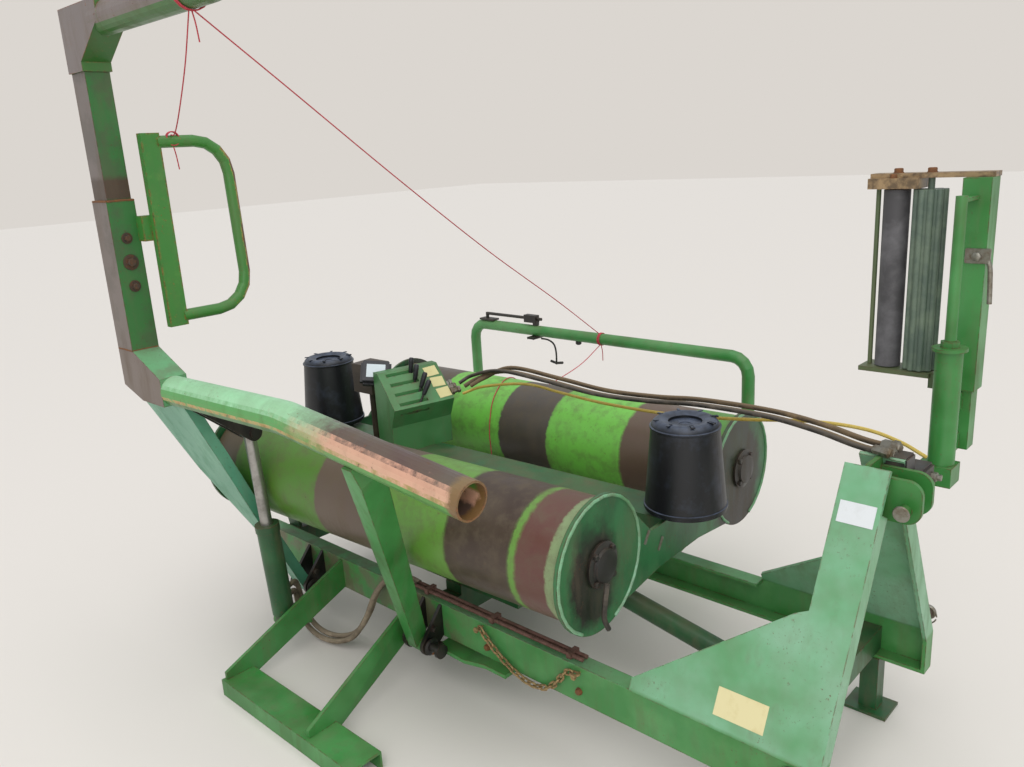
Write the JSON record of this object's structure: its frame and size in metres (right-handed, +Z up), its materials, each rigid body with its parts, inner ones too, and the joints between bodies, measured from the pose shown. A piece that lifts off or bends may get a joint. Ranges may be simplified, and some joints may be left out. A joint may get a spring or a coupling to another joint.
{
  "type": "bale wrapper",
  "caption": "Three-point-hitch turntable wrapper for round bales: roller table with guide cones, side loader raised upright, stop hoop, valve console and a film mast.",
  "frame": {"origin": "middle of the bounding box's base, on the ground", "axes": "+X forward along travel to the hitch, +Y to the machine's left (the far side in the picture), +Z up"},
  "size_m": [2.4199, 1.834, 2.0925],
  "materials": {
    "frame_green": "scuffed green paint",
    "bright_green": "worn yellow-green paint with rusty bands",
    "dark_green": "dull dark green paint",
    "teal_green": "faded teal green paint",
    "grey_brown_paint": "weathered paint rubbed to grey-brown",
    "worn_steel": "worn steel",
    "rusty_steel": "rusted steel",
    "chain_steel": "zinc chain gone yellow-brown",
    "chromed_rod": "bright ground rod",
    "greasy_black": "black grease over steel",
    "black_plastic": "faded black moulding",
    "brown_housing": "dirty dark housing",
    "grey_rubber": "dusty grey rubber",
    "green_plastic": "ribbed green plastic"
  },
  "bodies": {
    "chassis": {"near_side_plate": "frame_green", "far_side_plate": "frame_green", "cross_members": "dark_green", "top_link_clevis": "frame_green", "lower_hitch_pins": "worn_steel", "near_foot": "frame_green", "parking_feet": "dark_green", "loader_pivots": "greasy_black", "beam_brace": "frame_green", "stop_hoop": "frame_green", "mast_bracket": "frame_green", "beam_chain": "chain_steel", "beam_pipes": "worn_steel", "film_cutter": "greasy_black"},
    "tilting_frame": {"tilt_frame": "dark_green", "turntable": "greasy_black", "table_beam": "dark_green", "front_end_plate": "dark_green", "rear_end_plate": "dark_green", "console_cover": "frame_green", "console_levers": "greasy_black", "counter": "brown_housing"},
    "near_table_roller": {"near_roller": "bright_green"},
    "far_table_roller": {"far_roller": "bright_green"},
    "front_guide": {"front_cone": "black_plastic"},
    "rear_guide": {"rear_cone": "black_plastic"},
    "loader": {"loader_tube": "bright_green", "loader_knee": "grey_brown_paint", "loader_post": "grey_brown_paint", "loader_top_tube": "bright_green", "leg_a": "teal_green", "leg_b": "frame_green", "loader_gusset": "greasy_black", "bale_stop": "frame_green"},
    "lift_ram_barrel": {"lift_barrel": "dark_green"},
    "lift_ram_rod": {"lift_rod": "chromed_rod"},
    "tilt_ram_barrel": {"tilt_barrel": "dark_green"},
    "tilt_ram_rod": {"tilt_rod": "chromed_rod"},
    "film_mast": {"mast_inner": "frame_green", "mast": "frame_green", "dispenser_frame": "rusty_steel"},
    "film_grip_roller": {"grip_roller": "grey_rubber"},
    "film_ribbed_roller": {"ribbed_roller": "green_plastic"}
  },
  "joints": [
    {"name": "table_tilt", "type": "hinge", "parent": "chassis", "child": "tilting_frame", "pos_m": [-1.001, -0.077, 0.318], "axis": [0, -1, 0], "range_deg": [0, 30]},
    {"name": "near_roller_spin", "type": "hinge", "parent": "tilting_frame", "child": "near_table_roller", "pos_m": [-0.1834, -0.4646, 0.597], "axis": [0.999, 0.0454, 0], "continuous": true},
    {"name": "far_roller_spin", "type": "hinge", "parent": "tilting_frame", "child": "far_table_roller", "pos_m": [-0.2186, 0.3106, 0.597], "axis": [0.999, 0.0454, 0], "continuous": true},
    {"name": "front_cone_spin", "type": "hinge", "parent": "tilting_frame", "child": "front_guide", "pos_m": [0.57021, -0.04198, 0.616], "axis": [0, 0, 1], "continuous": true},
    {"name": "rear_cone_spin", "type": "hinge", "parent": "tilting_frame", "child": "rear_guide", "pos_m": [-0.97221, -0.11202, 0.616], "axis": [0, 0, 1], "continuous": true},
    {"name": "loader_lower", "type": "hinge", "parent": "chassis", "child": "loader", "pos_m": [-0.393, -0.497, 0.165], "axis": [1, 0, 0], "range_deg": [0, 70]},
    {"name": "lift_ram_swing", "type": "hinge", "parent": "chassis", "child": "lift_ram_barrel", "pos_m": [-0.603, -0.649, 0.12], "axis": [1, 0, 0], "range_deg": [0, 77.39]},
    {"name": "lift_ram_stroke", "type": "slide", "parent": "lift_ram_barrel", "child": "lift_ram_rod", "axis": [0, -0.0499, 0.9988], "range_m": [-0.1652, 0]},
    {"name": "tilt_ram_swing", "type": "hinge", "parent": "chassis", "child": "tilt_ram_barrel", "pos_m": [0.904, -0.077, 0.19], "axis": [0, 1, 0], "range_deg": [0, 30.38]},
    {"name": "tilt_ram_stroke", "type": "slide", "parent": "tilt_ram_barrel", "child": "tilt_ram_rod", "axis": [-0.9831, 0, 0.1832], "range_m": [0, 0.4264]},
    {"name": "film_mast_swing", "type": "hinge", "parent": "chassis", "child": "film_mast", "pos_m": [1.149, 0.205, 0.95], "axis": [0, 0, 1], "range_deg": [-90, 0]},
    {"name": "grip_roller_spin", "type": "hinge", "parent": "film_mast", "child": "film_grip_roller", "pos_m": [0.956, 0.347, 1.2], "axis": [0, 0, 1], "continuous": true},
    {"name": "ribbed_roller_spin", "type": "hinge", "parent": "film_mast", "child": "film_ribbed_roller", "pos_m": [1.037, 0.347, 1.2], "axis": [0, 0, 1], "continuous": true}
  ],
  "couplings": [
    {"joint": "lift_ram_swing", "follows": "loader_lower", "ratio": 1.1055},
    {"joint": "lift_ram_stroke", "follows": "loader_lower", "m_per_rad": -0.13511},
    {"joint": "tilt_ram_swing", "follows": "table_tilt", "ratio": 1.0122},
    {"joint": "tilt_ram_stroke", "follows": "table_tilt", "m_per_rad": 0.81424}
  ]
}
